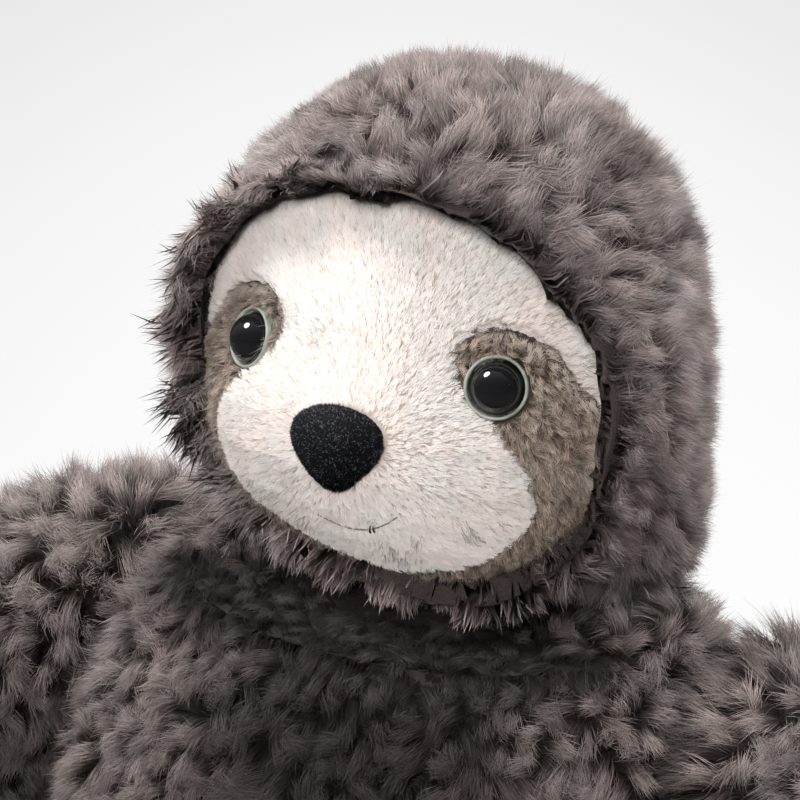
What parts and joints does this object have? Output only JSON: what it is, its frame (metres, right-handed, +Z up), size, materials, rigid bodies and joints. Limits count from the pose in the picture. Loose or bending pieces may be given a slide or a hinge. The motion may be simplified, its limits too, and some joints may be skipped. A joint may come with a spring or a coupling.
{
  "type": "plush sloth",
  "caption": "Sitting plush sloth with long taupe fur, a cream face with brown eye patches, glossy eyes, a flocked nose and soft claws.",
  "frame": {"origin": "middle of the torso's flat seat, on the surface that the toy sits on", "axes": "+Z up, -Y the way the toy faces, +X the toy's own left"},
  "size_m": [0.3929, 0.2616, 0.303],
  "materials": {
    "long_fur": "long wavy pile with pale tips",
    "cream_pile": "short velvety pile",
    "brown_pile": "short velvety pile",
    "eye_black": "polished",
    "eye_rim": "satin",
    "nose_flock": "flocked",
    "mouth_thread": "twisted thread",
    "claw_suede": "short napped suede cloth",
    "washer": "moulded",
    "stuffing": "loose polyester fibre"
  },
  "bodies": {
    "torso": {"torso_cover": "long_fur", "torso_stuffing": "stuffing"},
    "head": {"head_hood": "long_fur", "head_stuffing": "stuffing", "face_panel": "cream_pile", "eye_patch_left": "brown_pile", "eye_patch_right": "brown_pile", "eye_left": "eye_black", "eye_right": "eye_black", "eye_rim_left": "eye_rim", "eye_rim_right": "eye_rim", "eye_washer_left": "washer", "eye_washer_right": "washer", "nose": "nose_flock", "nose_washer": "washer", "mouth_stitch": "mouth_thread"},
    "arm_left": {"arm_left_cover": "long_fur", "arm_left_stuffing": "stuffing", "arm_left_claw_1": "claw_suede", "arm_left_claw_2": "claw_suede", "arm_left_claw_3": "claw_suede"},
    "arm_right": {"arm_right_cover": "long_fur", "arm_right_stuffing": "stuffing", "arm_right_claw_1": "claw_suede", "arm_right_claw_2": "claw_suede", "arm_right_claw_3": "claw_suede"},
    "leg_left": {"leg_left_cover": "long_fur", "leg_left_stuffing": "stuffing", "leg_left_claw_1": "claw_suede", "leg_left_claw_2": "claw_suede", "leg_left_claw_3": "claw_suede"},
    "leg_right": {"leg_right_cover": "long_fur", "leg_right_stuffing": "stuffing", "leg_right_claw_1": "claw_suede", "leg_right_claw_2": "claw_suede", "leg_right_claw_3": "claw_suede"}
  },
  "joints": [
    {"name": "neck_turn", "type": "hinge", "parent": "torso", "child": "head", "pos_m": [0, 0.006, 0.175], "axis": [0, 0, 1], "range_deg": [-40, 40]},
    {"name": "left_shoulder_swing", "type": "hinge", "parent": "torso", "child": "arm_left", "pos_m": [0.077, 0.012, 0.144], "axis": [1, 0, 0], "range_deg": [-150, 30]},
    {"name": "right_shoulder_swing", "type": "hinge", "parent": "torso", "child": "arm_right", "pos_m": [-0.077, 0.012, 0.144], "axis": [1, 0, 0], "range_deg": [-150, 30]},
    {"name": "left_hip_swing", "type": "hinge", "parent": "torso", "child": "leg_left", "pos_m": [0.056, -0.036, 0.035], "axis": [1, 0, 0], "range_deg": [0, 80]},
    {"name": "right_hip_swing", "type": "hinge", "parent": "torso", "child": "leg_right", "pos_m": [-0.056, -0.036, 0.035], "axis": [1, 0, 0], "range_deg": [0, 80]}
  ]
}
